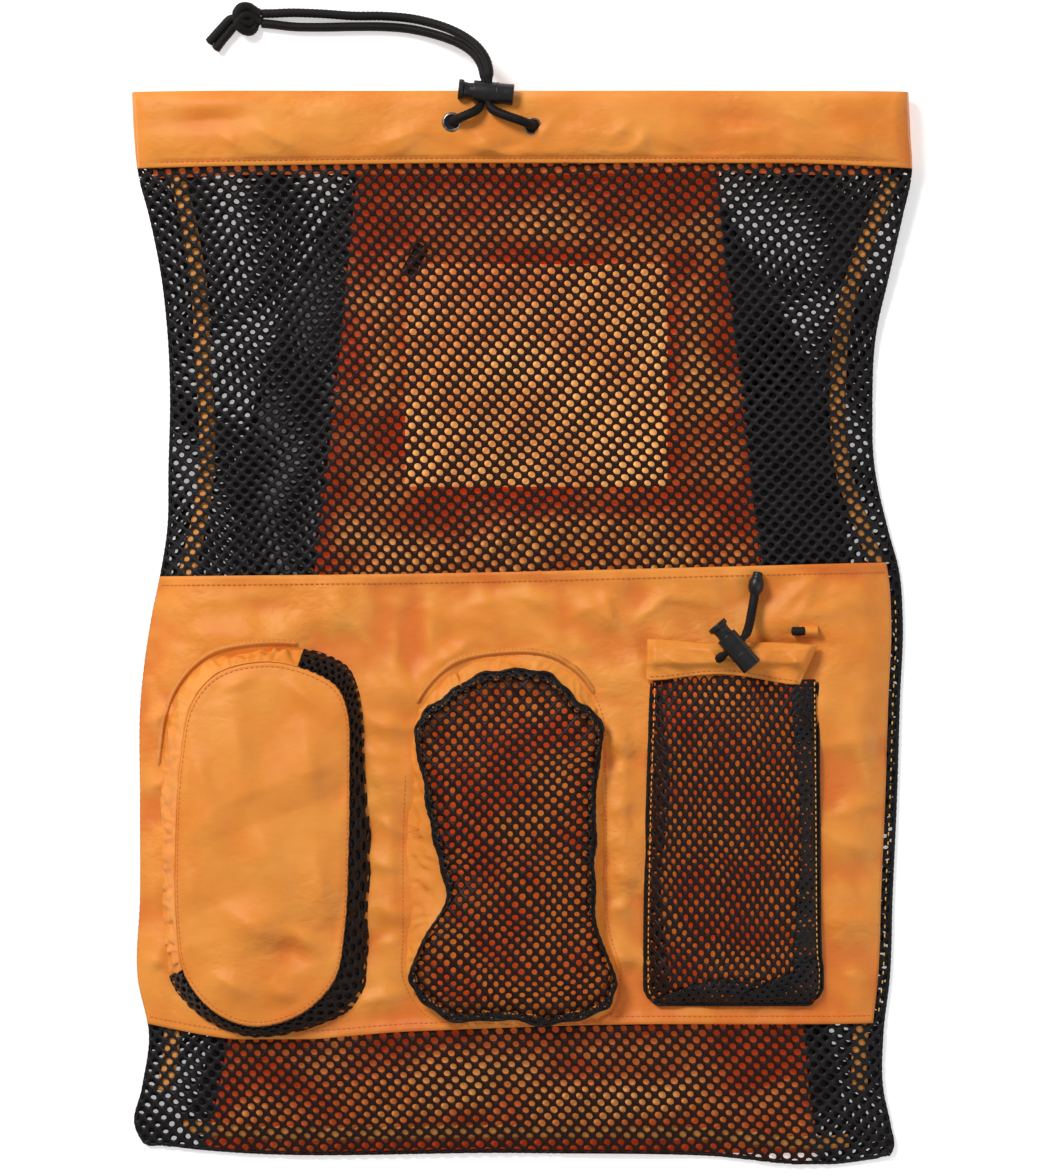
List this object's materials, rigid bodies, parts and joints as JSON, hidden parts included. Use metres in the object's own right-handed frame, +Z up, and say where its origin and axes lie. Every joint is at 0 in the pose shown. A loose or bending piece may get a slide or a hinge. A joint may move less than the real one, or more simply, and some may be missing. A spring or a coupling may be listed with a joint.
{
  "type": "mesh backpack",
  "caption": "Drawcord mesh backpack of orange nylon and black open net, empty and lying flat, with front pockets and padded straps behind.",
  "frame": {"origin": "middle of the flat bag on the surface it lies on, measured without its cords and toggles", "axes": "+Z up out of the bag's front, +Y towards its mouth, +X to the right for someone who looks down on the front"},
  "size_m": [0.453, 0.6735, 0.0426],
  "materials": {
    "nylon": "plain woven nylon with a faint sheen",
    "knit": "open warp-knitted net with a slight sheen",
    "patch": "bare woven patch",
    "binding": "folded seam tape",
    "cord": "braided cord",
    "eyelet": "dark polished eyelet",
    "toggle": "moulded plastic, matte",
    "zip": "coil zip in its tape",
    "strap": "padded strap in knitted cloth",
    "buckle": "moulded plastic, matte",
    "webbing": "flat woven webbing"
  },
  "bodies": {
    "root": {"front_net_upper": "knit", "pocket_panel": "nylon", "front_net_lower": "knit", "side_net_right": "knit", "back_panel": "nylon", "back_net_left": "knit", "back_net_right": "knit", "back_patch": "patch", "binding_left": "binding", "binding_right": "binding", "binding_bottom": "binding", "top_band": "nylon", "eyelet_left": "eyelet", "eyelet_right": "eyelet", "drawcord_in_casing": "cord", "drawcord_left": "cord", "drawcord_right": "cord", "drawcord_knot": "cord", "cord_lock_barrel": "toggle", "pocket_lock_barrel": "toggle", "left_pocket_face": "nylon", "left_pocket_side": "nylon", "left_pocket_net": "knit", "left_pocket_zip": "zip", "middle_pocket_rim": "nylon", "middle_pocket_net": "knit", "middle_pocket_zip": "zip", "right_pocket_net": "knit", "right_pocket_band": "nylon", "pocket_cord": "cord", "pocket_bead": "toggle", "right_pocket_tab": "nylon", "pocket_cord_end": "cord", "shoulder_strap_left": "strap", "shoulder_strap_right": "strap", "ladder_lock_left": "buckle", "ladder_lock_right": "buckle", "strap_web_left": "webbing", "strap_web_right": "webbing"},
    "cord_toggle_plunger": {"cord_lock_plunger": "toggle"},
    "pocket_toggle_plunger": {"pocket_lock_plunger": "toggle"}
  },
  "joints": [
    {"name": "cord_toggle_press", "type": "slide", "parent": "root", "child": "cord_toggle_plunger", "axis": [0.9951, -0.0986, 0], "range_m": [0, 0.0022], "stiffness_N_per_m": 250, "springref_m": -0.004},
    {"name": "pocket_toggle_press", "type": "slide", "parent": "root", "child": "pocket_toggle_plunger", "axis": [0.6469, -0.7626, 0], "range_m": [0, 0.0022], "stiffness_N_per_m": 250, "springref_m": -0.004}
  ]
}
